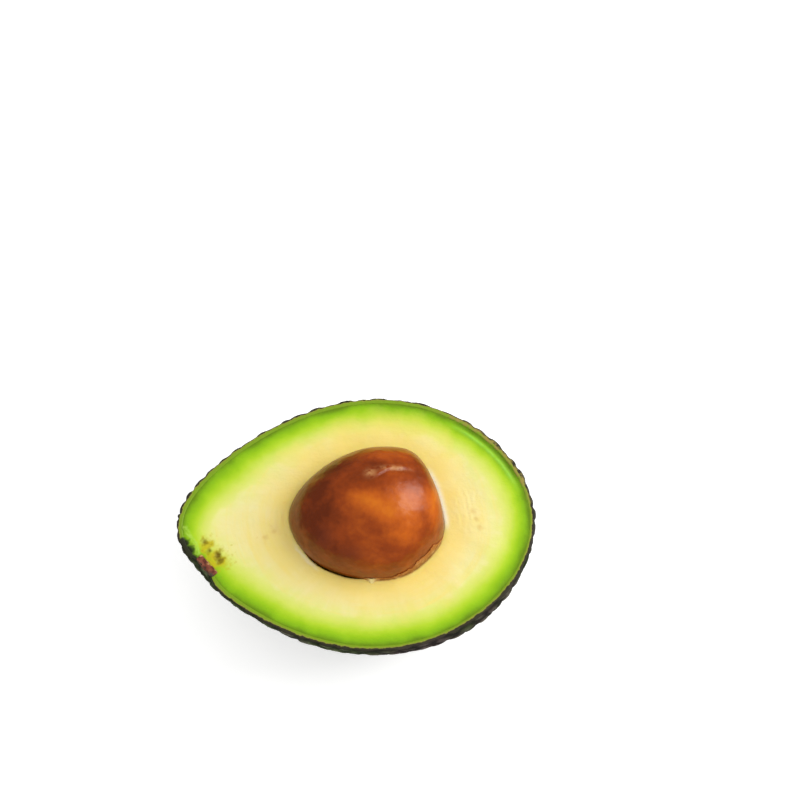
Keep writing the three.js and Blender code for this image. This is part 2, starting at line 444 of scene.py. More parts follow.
def flesh_material():
    """Green under the skin, through yellow-green to butter yellow, and warmer again next to the stone, where
    it is also painted a little brighter against the stone's shade.
    """
    settings = {
        "Roughness": 0.45,
        "Specular IOR Level": 0.25,
        "Subsurface Weight": 0.3,
        "Subsurface Radius": (1.0, 0.8, 0.35),
        "Subsurface Scale": 0.002,
    }
    material, tree, surface = new_material("avocado_flesh", settings)
    wander = rescale(tree, spots(tree, 0.007), 0.3, 0.7, -0.6, 0.6)
    depth = calculate(tree, "ADD", attribute(tree, "from_rim"), wander)
    stops = [
        (0.0, (106, 142, 2)),
        (0.06, (134, 184, 2)),
        (0.13, (158, 203, 10)),
        (0.20, (184, 216, 42)),
        (0.30, (212, 225, 94)),
        (0.42, (227, 229, 128)),
        (0.62, (237, 227, 152)),
        (1.0, (239, 225, 158)),
    ]
    ramped = ramp(tree, rescale(tree, depth, 0.0, 20.0), stops)
    patchy = rescale(tree, spots(tree, 0.009, detail=3.0), 0.3, 0.7, -2.5, 2.5)
    from_stone = calculate(tree, "ADD", attribute(tree, "from_stone"), patchy)
    inside = rescale(tree, depth, 5.0, 9.0)
    rays = times(tree, streaks(tree, 0.12, 9.0), inside)
    arcs = times(tree, streaks(tree, 0.55, 1.6), inside)
    rayed = mix(tree, rescale(tree, rays, 0.4, 0.75, 0.0, 0.6), ramped, (243, 232, 176))
    # Warmer yellow next to the stone, painted a little brighter there against the stone's shade.
    warmed = mix(tree, rescale(tree, from_stone, 0.0, 12.0, 0.9, 0.0), rayed, (250, 220, 116))
    streaked = mix(tree, rescale(tree, arcs, 0.48, 0.75, 0.0, 0.6), warmed, (243, 221, 118))
    flecks = times(tree, attribute(tree, "fleck"), 0.4)
    flecked = mix(tree, flecks, streaked, (212, 172, 84))
    uneven = rescale(tree, spots(tree, 0.0013, detail=4.0), 0.32, 0.65, 0.7, 1.15)
    torn = times(tree, attribute(tree, "torn"), rescale(tree, uneven, 0.7, 1.15, 0.2, 0.9))
    # Painted shade: darker green in the groove near the rim at the upper right. Painted reflection: paler
    # bluish green along the ridge beside it.
    groove = times(tree, attribute(tree, "groove"), 0.7)
    groove_shaded = mix(tree, groove, flecked, (104, 146, 4))
    crest_highlight = times(tree, attribute(tree, "ridge"), rescale(tree, uneven, 0.7, 1.15, 0.25, 0.6))
    crest_highlighted = mix(tree, crest_highlight, groove_shaded, (150, 214, 84))
    ridged = mix(tree, torn, crest_highlighted, (180, 216, 84))
    halo = times(tree, attribute(tree, "halo"), uneven)
    yellowed = mix(tree, rescale(tree, halo, 0.08, 0.8, 0.0, 0.9), ridged, (200, 184, 16))
    stain = times(tree, attribute(tree, "stain"), uneven)
    stained = mix(tree, rescale(tree, stain, 0.12, 1.0), yellowed, (124, 104, 2))
    papery = times(tree, attribute(tree, "papery"), uneven)
    edged = mix(tree, rescale(tree, papery, 0.2, 0.8), stained, (190, 142, 72))
    rind = rescale(tree, attribute(tree, "rind"), 0.2, 0.7)
    rinded = ramp_over(tree, rind, edged, (86, 118, 10), (46, 54, 22))
    pale = mix(tree, attribute(tree, "pale"), rinded, (255, 243, 214))
    tree.links.new(pale, surface.inputs["Base Color"])
    bump(tree, surface, spots(tree, 0.0022, detail=5.0, stretch=(0.6, 1, 1)), 0.00022)
    bump(tree, surface, spots(tree, 0.0005, detail=3.0), 0.00004)
    return material


def skin_material():
    """Dark green pebbles, coloured by their height: greyer tops as painted highlight and near-black valleys
    as painted shade. On the cut, the pebbles are dark up to a pale line, and the green of the flesh starts
    under it."""
    settings = {"Roughness": 0.45, "Specular IOR Level": 0.35, "Coat Weight": 0.06, "Coat Roughness": 0.35}
    material, tree, surface = new_material("avocado_skin", settings)
    wander = rescale(tree, spots(tree, 0.0012), 0.3, 0.7, -0.12, 0.12)
    # Painted shade and highlight: near-black in the valleys, grey on the pebble tops.
    pebble_shading = calculate(tree, "ADD", attribute(tree, "height"), wander)
    stops = [(0.0, (20, 23, 9)), (0.35, (40, 48, 20)), (0.7, (62, 74, 36)), (1.0, (104, 112, 78))]
    greens = ramp(tree, pebble_shading, stops)
    browns = ramp(tree, pebble_shading, [(0.0, (24, 18, 16)), (0.5, (56, 46, 42)), (1.0, (112, 98, 92))])
    riper = times(tree, attribute(tree, "ripe"), 0.1)
    patches = calculate(tree, "ADD", spots(tree, 0.014, detail=4.0), riper)
    ripeness = rescale(tree, patches, 0.46, 0.66)
    back = mix(tree, ripeness, greens, browns)
    ragged = rescale(tree, spots(tree, 0.0012), 0.3, 0.7, -0.2, 0.2)
    stops = [
        (0.0, (126, 162, 4)),
        (0.42, (124, 156, 6)),
        (0.54, (160, 162, 56)),
        (0.66, (104, 102, 34)),
        (0.78, (58, 58, 22)),
        (1.0, (52, 48, 32)),
    ]
    outward = calculate(tree, "ADD", attribute(tree, "outward"), ragged)
    edge = ramp(tree, rescale(tree, outward, -0.9, 0.1), stops)
    brown = times(tree, rescale(tree, attribute(tree, "outward"), -0.2, 0.2), ripeness)
    browned = mix(tree, brown, edge, (64, 56, 44))
    tan = times(tree, attribute(tree, "tan"), rescale(tree, spots(tree, 0.0018), 0.42, 0.58))
    tanned = mix(tree, tan, browned, (156, 142, 60))
    rinded = mix(tree, rescale(tree, attribute(tree, "rind"), 0.2, 0.5), tanned, (48, 50, 26))
    coloured = mix(tree, attribute(tree, "cut"), back, rinded)
    tree.links.new(coloured, surface.inputs["Base Color"])
    rough = rescale(tree, spots(tree, 0.002), 0.3, 0.7, 0.4, 0.62)
    tree.links.new(rough, surface.inputs["Roughness"])
    bump(tree, surface, spots(tree, 0.0011, detail=4.0), 0.00016)
    bump(tree, surface, spots(tree, 0.00035, detail=2.0), 0.00005)
    return material


def stone_material():
    """Polished red-brown, bright orange in places, plum and dark elsewhere, and olive along one edge as
    painted reflection. The orange is raised as painted highlight and painted sheen in two places, and pale
    painted glints lie along the fold.
    """
    material, tree, surface = new_material("avocado_stone", {"Roughness": 0.3, "Specular IOR Level": 0.42})
    mottle = rescale(tree, spots(tree, 0.0048, detail=2.0), 0.3, 0.7, -0.1, 0.1)
    fine = rescale(tree, spots(tree, 0.0013, detail=3.0), 0.3, 0.7, -0.05, 0.05)
    unevenness = calculate(tree, "ADD", mottle, fine)
    glow = calculate(tree, "ADD", attribute(tree, "glow"), unevenness)
    stops = [(0.0, (106, 38, 0)), (0.3, (150, 60, 0)), (0.6, (190, 88, 0)), (1.0, (222, 122, 2))]
    warm = ramp(tree, glow, stops)
    plum = calculate(tree, "ADD", attribute(tree, "plum"), unevenness)
    bruised = mix(tree, rescale(tree, plum, 0.2, 1.0, 0.0, 0.75), warm, (108, 44, 20))
    # Painted reflection: olive along the edge just above the flesh.
    olive = times(tree, attribute(tree, "olive"), 0.75)
    edged = mix(tree, olive, bruised, (126, 88, 6))
    # Pale painted glints along the fold, broken up by noise.
    patch_mask = rescale(tree, spots(tree, 0.0011), 0.35, 0.55, 0.0, 0.75)
    fold_glint = times(tree, attribute(tree, "fold_glint"), patch_mask)
    fold_glinted = mix(tree, fold_glint, edged, (206, 148, 92))
    tree.links.new(fold_glinted, surface.inputs["Base Color"])
    bump(tree, surface, spots(tree, 0.003, detail=4.0), 0.00014)
    bump(tree, surface, spots(tree, 0.0004, detail=2.0), 0.00002)
    return material


def coat_material():
    """The papery coat of the stone, tan with a redder upper edge, painted contact shade at its darker foot,
    and one pale flap.
    """
    material, tree, surface = new_material("stone_coat", {"Roughness": 0.6, "Specular IOR Level": 0.2})
    stops = [(0.3, (140, 84, 30)), (0.5, (172, 116, 56)), (0.7, (206, 162, 104))]
    papery = ramp(tree, spots(tree, 0.0014, detail=4.0), stops)
    top = rescale(tree, attribute(tree, "out"), 0.5, 1.0, 0.0, 0.7)
    browned = mix(tree, top, papery, (186, 106, 42))
    # Painted shade: the coat is darker at its foot, where it meets the flesh.
    contact_shade = rescale(tree, attribute(tree, "out"), 0.2, 0.34, 0.7, 0.0)
    contact_shaded = mix(tree, contact_shade, browned, (116, 84, 34))
    flapped = mix(tree, attribute(tree, "flap"), contact_shaded, (240, 222, 150))
    tree.links.new(flapped, surface.inputs["Base Color"])
    bump(tree, surface, spots(tree, 0.0004), 0.00008)
    return material


def button_material():
    """Red-brown cork, dark in its cracks and tan where it meets the flesh."""
    material, tree, surface = new_material("stem_button", {"Roughness": 0.75})
    stops = [(0.3, (84, 34, 20)), (0.5, (128, 58, 34)), (0.7, (146, 84, 58))]
    cork = ramp(tree, spots(tree, 0.0011, detail=5.0), stops)
    ragged = rescale(tree, spots(tree, 0.0016, detail=4.0), 0.3, 0.7, -0.8, 0.6)
    depth = calculate(tree, "ADD", attribute(tree, "sunk"), ragged)
    inner = mix(tree, rescale(tree, depth, 1.1, 1.6), cork, (206, 160, 92))
    outer = mix(tree, rescale(tree, depth, -0.3, 0.3, 1.0, 0.0), inner, (78, 66, 46))
    tree.links.new(outer, surface.inputs["Base Color"])
    bump(tree, surface, spots(tree, 0.0006, detail=4.0), 0.0002)
    return material


FLOOR_GLOW = 0.38


def floor_material():
    """A white table that glows a little."""
    settings = {"Roughness": 0.7, "Emission Color": (1.0, 1.0, 1.0, 1.0), "Emission Strength": FLOOR_GLOW}
    material, tree, surface = new_material("pale_floor", settings)
    stops = [(0.3, (250, 250, 249)), (0.7, (253, 253, 252))]
    pale = ramp(tree, spots(tree, 0.02, detail=4.0), stops)
    tree.links.new(pale, surface.inputs["Base Color"])
    return material


# Pieces


def pebble_points():
    """The pebble centres on a unit sphere, each with the height of its top as a share."""
    n = np.arange(PEBBLE_COUNT)
    z = 1 - (2 * n + 1) / PEBBLE_COUNT
    ring = np.sqrt(1 - z * z)
    spiral = np.stack([ring * np.cos(GOLDEN_ANGLE * n), ring * np.sin(GOLDEN_ANGLE * n), z], axis=-1)
    spacing = math.sqrt(4 * math.pi / PEBBLE_COUNT)
    scatter = np.stack([chance(3 * n), chance(3 * n + 1), chance(3 * n + 2)], axis=-1) - 0.5
    centres = unit(spiral + PEBBLE_SCATTER * spacing * scatter)
    return new_object("pebble_points", centres, [], {"top": 1 - PEBBLE_SPREAD * chance(7 * n + 5)})


def lower_half(made):
    """Cuts a mesh on the unit sphere level through its middle, and gives what is below: its vertices, its
    faces, and its open edge as a list of vertices in order round the cut."""
    mesh = bmesh.new()
    mesh.from_mesh(made.data)
    everything = mesh.verts[:] + mesh.edges[:] + mesh.faces[:]
    level = {"plane_co": (0, 0, 0), "plane_no": (0, 0, 1)}
    bmesh.ops.bisect_plane(mesh, geom=everything, dist=1e-6, clear_outer=True, **level)
    mesh.verts.index_update()
    vertices = np.array([v.co for v in mesh.verts])
    faces = [tuple(v.index for v in face.verts) for face in mesh.faces]
    edge = [v.index for v in mesh.verts if v.is_boundary]
    edge.sort(key=lambda i: math.atan2(vertices[i, 1], vertices[i, 0]))
    mesh.free()
    return vertices, faces, edge


# Rings of the rim, each as its share of the way in and its height
RIM_STEPS = [(0.08, -0.03), (0.22, 0.0), (0.4, 0.0), (0.6, 0.0), (0.8, 0.0), (1.0, -0.01)]
RIM_EDGE_DROP = 0.2
INNER_RINGS = 12
SMOOTH_BY_BUTTON = 2.5  # how far from the stem button the pebbles reach their full height
RELIEF_BELOW = 0.6
TAN_SPAN = (4, 66)


def skin_piece(material):
    """The pebbled outside, the rim that the knife left, and the smooth inner wall, as one closed shell."""
    template = run_tree(pebble_points(), pebbled_sphere_tree(), material, level=PEBBLE_LEVEL)
    vertices, faces, edge = lower_half(template)
    bpy.data.objects.remove(template)
    s = unit(vertices)
    share = np.clip((np.linalg.norm(vertices, axis=1) - 1) / TEMPLATE_HEIGHT, 0, 1)
    away = np.arccos(np.clip(-s[:, 2], -1, 1)) / WORN_REACH
    patch_mask = 1 - smoothstep(away, 0.6, 1.0)
    outward = PEBBLE_HEIGHT * (share + (1 - share) * patch_mask)
    near_button = from_button_axis(fruit_point(s, np.zeros(len(s))))
    outward *= smoothstep(near_button, BUTTON_RADIUS, BUTTON_RADIUS + SMOOTH_BY_BUTTON)
    under = 1 - smoothstep(near_button, BUTTON_RADIUS - 0.5, BUTTON_RADIUS)
    points = fruit_point(s, outward - UNDER_BUTTON * under)
    points[:, 2] = np.maximum(points[:, 2], -CUT_HEIGHT / MM)
    points[edge, 2] -= RIM_EDGE_DROP

    count = len(edge)
    around = unit(s[edge] * [1, 1, 0])
    outer = points[edge]
    inner = fruit_point(around, np.full(count, -SKIN_THICKNESS))
    under_edge = under[edge]
    tan_share = between_angles(np.arctan2(around[:, 1], around[:, 0]), *TAN_SPAN)
    rings = []
    levels = []
    tans = []
    for fraction, drop in RIM_STEPS:
        ring = outer + (inner - outer) * fraction
        ring[:, 2] = drop - UNDER_BUTTON * under_edge
        rings.append(ring)
        levels.append(outward[edge] * (1 - fraction) - SKIN_THICKNESS * fraction - green_reach(around))
        tans.append(tan_share * smoothstep(np.float64(fraction), 0.1, 0.3))
    for j in range(1, INNER_RINGS):
        down = j / INNER_RINGS * math.pi / 2
        rings.append(fruit_point(below(around, down), np.full(count, -SKIN_THICKNESS)))
        levels.append(np.full(count, -SKIN_THICKNESS))
        tans.append(np.zeros(count))
    pole = fruit_point(DOWN, np.float64(-SKIN_THICKNESS))

    start = len(points)
    added = np.concatenate(rings)
    faces += [tuple(start + i for i in face) for face in ring_faces(len(rings), count)]
    for k in range(count):
        after = (k + 1) % count
        faces.append((edge[k], edge[after], start + after, start + k))
    faces += fan_faces(start + len(added) - count, count, start + len(added))
    everything = np.concatenate([points, added, [pole]])
    plain = np.zeros(len(added) + 1)
    made = new_object(
        "skin_pebbled",
        to_frame(everything),
        faces,
        {
            "height": np.concatenate([share, plain]),
            "outward": np.concatenate([outward, *levels, [-SKIN_THICKNESS]]),
            "cut": np.concatenate([np.zeros(start), plain + 1]),
            "tan": np.concatenate([np.zeros(start), *tans, [0]]),
            "rind": marks(everything, RIND, RIND_ROUGHNESS),
            "ripe": bell(angle_from(unit(everything), SWELL_AT) / 0.7),
            "relief": np.concatenate([(1 - patch_mask) * (points[:, 2] < -RELIEF_BELOW), plain]),
        },
    )
    return roughened(made, material, coarse=(0.0016, 0.00035), fine=(0.0006, 0.00008))


def green_reach(around):
    """How much further out the green comes on the cut, by direction: least at the lower right."""
    return 0.4 * (1 - smoothstep(around @ round_the_cut(-35), -0.5, 0.6))


def keep_inside(made, node):
    """Holds a piece inside the box of the node that it stands for."""
    low, high = (np.array(corner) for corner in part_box(node))
    places = np.empty(len(made.data.vertices) * 3)
    made.data.vertices.foreach_get("co", places)
    places = np.clip(places.reshape(-1, 3), low, high)
    made.data.vertices.foreach_set("co", places.ravel())
    made.data.update()
    return made


FLESH_COLUMNS = 740
FACE_RINGS = 94
HOLLOW_RINGS = 10
WALL_RINGS = 10
LIP_RINGS = 6
SHOULDER_RINGS = 4
SHOULDER_RADIUS = 0.3
SHOULDER_DROP = 0.02
FLESH_OVERLAP = 0.03  # how far the flesh reaches into the skin, so that no light shows between them
HOLLOW_GAP = 0.15  # between the stone and the hollow that holds it
LIP_RADIUS = 0.12
LIP_OVERLAP = 0.02  # how far the rounded edge of the hollow reaches into the stone
CREVICE_AT = math.radians(238)
CREVICE_WIDTH = 0.45
RIDGE_AT = 1.9  # from the rim
GROOVE_AT = 0.7  # from the rim
CREASE_REACH = 0.55

# How far the marks on the cut stand up or go down
TORN_RISE = 0.15
PIT_DEPTH = 0.4
PALE_RISE = 0.12
RIDGE_RISE = 0.2
GROOVE_DEPTH = 0.3

# Stretches round the stone, each as its first and last angle in degrees
PAPERY_SPAN = (-98, -12)
PALE_SPAN = (-14, 44)
PEELED_SPAN = (-162, -128)
CREASED_SPAN = (8, 52)
EASING = 12

# Marks on the cut, each as the x and y of its middle and its radius: dents and yellow round them beside the
# stem button, bits of rind at the stem end, and flecks beside the stone. The tears follow a line of points.
PITS = [(-36.8, -8.8, 1.2), (-36.5, -10.2, 1.1), (-40.6, -5.2, 0.9), (-39.2, -7.6, 0.8)]
HALOES = [(-36.2, -10.6, 2.0), (-37.6, -9.2, 2.2), (-39.9, -6.2, 1.9), (-38.2, -11.4, 1.4)]
RIND = [(-46.0, -5.6, 1.5), (-45.0, -7.8, 1.9), (-43.6, -10.0, 1.4)]
RIND_ROUGHNESS = 0.3
FLECKS = [(31.2, 3.2, 0.8), (32.2, 1.0, 0.7), (33.0, -1.2, 0.8), (-22.0, -2.4, 1.0), (-24.6, -4.0, 0.8)]
TEARS = [(-46.0, -1.6), (-44.6, -3.4), (-43.0, -5.6), (-42.4, -8.2)]


def crevice_share(angle):
    """Where a dark gap is open between stone and flesh: at the lower left alone."""
    return smoothstep(np.cos(angle - CREVICE_AT), 0.86, 0.99)


def flesh_piece(material):
    """The cut face with its hollow and its rounded edges, and the hidden wall under the skin."""
    turn = np.arange(FLESH_COLUMNS) / FLESH_COLUMNS * 2 * math.pi
    around = np.stack([np.cos(turn), np.sin(turn), np.zeros_like(turn)], axis=-1)
    inside_skin = np.full(FLESH_COLUMNS, FLESH_OVERLAP - SKIN_THICKNESS)
    rim = fruit_point(around, inside_skin)
    angle = np.arctan2(rim[:, 1] - STONE_MIDDLE[1], rim[:, 0] - STONE_MIDDLE[0])
    out = np.stack([np.cos(angle), np.sin(angle), np.zeros_like(angle)], axis=-1)
    gap = crevice_share(angle)
    lip = STONE_MIDDLE + out * (stone_radius(out) + CREVICE_WIDTH * gap - LIP_OVERLAP)[:, None]
    lip_radius = LIP_RADIUS + CREVICE_WIDTH * gap
    length = np.linalg.norm(rim - lip, axis=1)

    rings = []
    for j in range(HOLLOW_RINGS):
        down = math.pi / 2 * (1 - (j + 0.6) / (HOLLOW_RINGS + 0.6))
        direction = below(out, down)
        rings.append(STONE_MIDDLE + direction * (stone_radius(direction) + HOLLOW_GAP)[:, None])
    for j in range(LIP_RINGS):
        a = j / LIP_RINGS * math.pi / 2
        ring = lip + out * (lip_radius * (1 - math.cos(a)))[:, None]
        ring[:, 2] = lip_radius * (math.sin(a) - 1)
        rings.append(ring)
    for j in range(FACE_RINGS):
        f = j / (FACE_RINGS - 1)
        along = lip_radius + f * (length - lip_radius - SHOULDER_RADIUS)
        rings.append(lip + out * along[:, None])
    for j in range(1, SHOULDER_RINGS + 1):
        a = j / SHOULDER_RINGS * math.pi / 2
        ring = lip + out * (length - SHOULDER_RADIUS * (1 - math.sin(a)))[:, None]
        ring[:, 2] = -SHOULDER_DROP * (1 - math.cos(a))
        rings.append(ring)
    for j in range(1, WALL_RINGS):
        down = j / WALL_RINGS * math.pi / 2
        rings.append(fruit_point(below(around, down), inside_skin))
    points = np.concatenate(rings)
    first_face = (HOLLOW_RINGS + LIP_RINGS) * FLESH_COLUMNS
    last_face = first_face + (FACE_RINGS + SHOULDER_RINGS) * FLESH_COLUMNS

    from_rim = nearest_distance(points, rim)
    from_stone = nearest_distance(points, lip)
    pits = marks(points, PITS)
    torn = tears(points)
    face = slice(first_face, last_face)
    inward = smoothstep(from_rim[face], 0.3, 1.6) * smoothstep(from_stone[face], 0.2, 1.4)
    points[face, 2] += inward * (knife_waves(points[face]) + wrinkles(points[face], from_stone[face]))
    points[face, 2] += TORN_RISE * torn[face] - PIT_DEPTH * pits[face] ** 2
    facing = np.arctan2(points[:, 1] - STONE_MIDDLE[1], points[:, 0] - STONE_MIDDLE[0])
    papery = bell(from_stone / 0.5) * between_angles(facing, *PAPERY_SPAN)
    pale = bell((from_stone - 0.5) / 0.9) * between_angles(facing, *PALE_SPAN)
    peeled = bell((from_stone - 0.8 - 0.5 * noise_at(points, 2.0, 2)) / 0.4)
    peeled *= 0.5 * between_angles(facing, *PEELED_SPAN)
    points[face, 2] += PALE_RISE * pale[face]
    creased = between_angles(facing, *CREASED_SPAN)
    ridge = creased * bell((from_rim - RIDGE_AT) / CREASE_REACH)
    groove = creased * bell((from_rim - GROOVE_AT) / CREASE_REACH)
    points[face, 2] += RIDGE_RISE * ridge[face] - GROOVE_DEPTH * groove[face]
    near_button = from_button_axis(points[face])
    points[face, 2] -= UNDER_BUTTON * (1 - smoothstep(near_button, BUTTON_RADIUS - 0.4, BUTTON_RADIUS))

    faces = ring_faces(len(rings), FLESH_COLUMNS)
    bottom = STONE_MIDDLE + DOWN * (stone_radius(DOWN) + HOLLOW_GAP)
    pole = fruit_point(DOWN, inside_skin[0])
    faces += fan_faces(0, FLESH_COLUMNS, len(points))
    faces += fan_faces(len(points) - FLESH_COLUMNS, FLESH_COLUMNS, len(points) + 1)
    relief = np.zeros(len(points))
    relief[face] = inward
    shares = {
        "from_rim": from_rim * green_width(points),
        "from_stone": from_stone,
        "stain": pits,
        "halo": marks(points, HALOES),
        "torn": torn,
        "papery": papery,
        "pale": 0.9 * pale + peeled,
        "facing_x": np.cos(facing),
        "facing_y": np.sin(facing),
        "ridge": ridge,
        "groove": groove,
        "rind": marks(points, RIND, RIND_ROUGHNESS),
        "fleck": marks(points, FLECKS),
        "relief": relief,
    }
    attributes = {name: np.append(values, [0, 0]) for name, values in shares.items()}
    made = new_object("flesh_cut", to_frame(np.concatenate([points, [bottom, pole]])), faces, attributes)
    return roughened(made, material, coarse=(0.004, 0.00012), fine=(0.0009, 0.00003))


def between_angles(angle, start, end):
    """1 between two angles in degrees, eased inside each."""
    degrees = np.degrees(angle)
    return smoothstep(degrees, start, start + EASING) * (1 - smoothstep(degrees, end - EASING, end))


def marks(points, places, roughness=0.7):
    """Ragged marks on the cut, from 1 at the middle of each to 0."""
    ragged = 1 + roughness * noise_at(points, 1.3, 3)
    mark = np.zeros(len(points))
    for x, y, size in places:
        away = np.hypot(points[:, 0] - x, points[:, 1] - y) * ragged / size
        mark = np.maximum(mark, bell(away))
    return mark


def tears(points):
    """A raised line of torn flesh that winds along the rim at the stem end."""
    line = np.array(TEARS)
    y = np.clip(points[:, 1], line[-1, 1], line[0, 1])
    x = np.interp(-y, -line[:, 1], line[:, 0])
    away = np.hypot(points[:, 0] - x, points[:, 1] - y)
    beside = away - 0.35 - 0.4 * noise_at(points, 1.6, 2)
    return bell(beside / 0.4) * (1 - smoothstep(away, 0.8, 1.8))


def nearest_distance(points, outline):
    tree = kdtree.KDTree(len(outline))
    for i, p in enumerate(outline):
        tree.insert((p[0], p[1], 0), i)
    tree.balance()
    return np.array([tree.find((p[0], p[1], 0))[2] for p in points])


def green_width(points):
    """Widens the green under the skin towards the stem end, and narrows it again beside the button."""
    beside_button = bell(np.hypot(points[:, 0] + 38.0, points[:, 1] + 7.0) / 9.0)
    return 1.08 - 0.26 * smoothstep(-points[:, 0], 10, 45) + 0.5 * beside_button


KNIFE_TURN = 0.5
KNIFE_HEIGHT = 0.05
UNEVEN_HEIGHT = 0.1


def knife_waves(points):
    """The shallow waves that the knife left across the face."""
    across = points[:, 0] * math.cos(KNIFE_TURN) + points[:, 1] * math.sin(KNIFE_TURN)
    waves = KNIFE_HEIGHT * np.sin(across / 1.9 + 0.4 * np.sin(points[:, 1] / 5.0))
    return waves + UNEVEN_HEIGHT * noise_at(points, 9.0, 2)


def wrinkles(points, from_stone):
    """Short folds beside both ends of the stone, running along its edge."""
    left = np.exp(-(((points[:, 0] + 22.5) / 5.0) ** 2 + ((points[:, 1] - 0.5) / 6.0) ** 2))
    right = np.exp(-(((points[:, 0] - 29.5) / 3.5) ** 2 + ((points[:, 1] - 3.0) / 7.0) ** 2))
    folds = np.sin(from_stone * 3.6 + 2.0 * noise_at(points, 3.0, 2))
    broken = smoothstep(noise_at(points, 2.4, 2), -0.25, 0.35)
    return (0.1 * left + 0.05 * right) * folds * broken


STONE_COLUMNS = 300
STONE_RINGS = 150


def stone_piece(material):
    """The polished stone, with its flattened base, its long fold and shallow dents."""
    turn = np.arange(STONE_COLUMNS) / STONE_COLUMNS * 2 * math.pi
    rings = []
    for j in range(1, STONE_RINGS):
        up = -math.pi / 2 + j / STONE_RINGS * math.pi
        level = np.full(STONE_COLUMNS, math.sin(up))
        rings.append(np.stack([np.cos(turn) * math.cos(up), np.sin(turn) * math.cos(up), level], axis=-1))
    s = np.concatenate(rings + [[DOWN, -DOWN]])
    points = s * (stone_radius(s) + stone_relief(s))[:, None]
    faces = ring_faces(STONE_RINGS - 1, STONE_COLUMNS)
    count = (STONE_RINGS - 1) * STONE_COLUMNS
    faces += fan_faces(0, STONE_COLUMNS, count)
    faces += fan_faces(count - STONE_COLUMNS, STONE_COLUMNS, count + 1)
    made = new_object(
        "stone_polished",
        to_frame(points + STONE_MIDDLE),
        faces,
        {
            "glow": soft_spots(points, GLOW),
            "plum": soft_spots(points, PLUM),
            "olive": olive_edge(points),
            "fold_glint": soft_spots(points, FOLD_GLINTS) * (points[:, 2] > 0),
            "relief": smoothstep(points[:, 2], 0.0, 2.0),
        },
    )
    return roughened(made, material, coarse=(0.006, 0.0004), fine=(0.0016, 0.00006))


# Soft patches of the stone's colour, among them painted highlight, painted sheen and painted glints, seen
# from
# above: x and y from the stone's middle, the reach along x and along y, and the strength
GLOW = [
    (2.0, -4.0, 14.0, 13.0, 0.42),
    (-3.7, 0.6, 3.4, 2.2, 0.26),
    (0.5, -1.6, 3.6, 2.2, 0.26),
    (4.4, -3.8, 3.6, 2.6, 0.28),
    (9.6, -8.8, 4.0, 3.4, 0.32),
    (17.2, 0.0, 2.2, 7.0, 0.45),
    # Painted highlight: brighter orange where the key light's highlight falls.
    (10.8, -0.6, 5.0, 5.0, 0.4),
    (4.0, -14.8, 8.0, 2.6, 0.16),
    # Painted sheen: lighter across the top of the stone.
    (5.0, 14.0, 10.0, 5.0, 0.34),
    (3.6, -7.6, 3.2, 1.8, -0.06),
    (1.4, 9.8, 3.4, 1.5, -0.2),
    (-13.5, -2.0, 4.0, 6.0, -0.16),
]
PLUM = [(-12.6, -9.4, 3.4, 3.4, 0.75), (-5.5, -13.6, 4.5, 2.4, 0.65), (-8.6, -3.3, 1.8, 1.5, 0.4)]
# Pale painted glints along the stone's fold.
FOLD_GLINTS = [(0.3, 6.8, 1.4, 1.2, 0.9), (6.4, 8.4, 3.4, 0.7, 0.9)]


def soft_spots(points, places):
    total = np.zeros(len(points))
    for x, y, wide, high, strength in places:
        away = ((points[:, 0] - x) / wide) ** 2 + ((points[:, 1] - y) / high) ** 2
        total += strength * np.exp(-away)
    return total


def olive_edge(points):
    """The olive edge just above the flesh, widest at the upper left: a painted reflection along the stone's
    rim.
    """
    angle = np.arctan2(points[:, 1], points[:, 0])
    facing = np.cos(angle - math.radians(132))
    upper_left = smoothstep(facing, -0.1, 0.85)
    reach = 0.3 + 4.2 * upper_left + upper_left * noise_at(points, 4.0, 2)
    return 1 - smoothstep(points[:, 2] / np.maximum(reach, 0.3), 0.1, 1.0)


FOLD_HEIGHT = 0.3
FOLD_DEPTH = 0.22


def fold_line(x):
    """How far towards +Y the stone's long fold is at x."""
    return 5.0 + 2.6 * smoothstep(x, 0.0, 6.0) - 1.0 * smoothstep(x, 9.0, 13.0)


def stone_relief(s):
    """What the stone's surface stands off its plain shape, by direction from its middle."""
    x, y = s[:, 0] * STONE_RADIUS, s[:, 1] * STONE_RADIUS
    upper = smoothstep(s[:, 2], 0.15, 0.4)
    beside = y - fold_line(x)
    reach = smoothstep(x, -7.0, -1.0) * (1 - smoothstep(x, 7.0, 13.0))
    return upper * reach * (FOLD_HEIGHT * bell((beside - 1.2) / 0.9) - FOLD_DEPTH * bell(beside / 0.5))


COAT_COLUMNS = 300
COAT_FROM = -100
COAT_TO = -10
COAT_FLAP = -88
COAT_THICKNESS = 0.08
COAT_DEPTH = 1.0
COAT_RISE = 4.6
COAT_LEFT_RISE = 1.3
COAT_RAGGED = 1.1
COAT_RIPPLE = 0.05
COAT_FLARE = 0.06
COAT_STEPS = 12


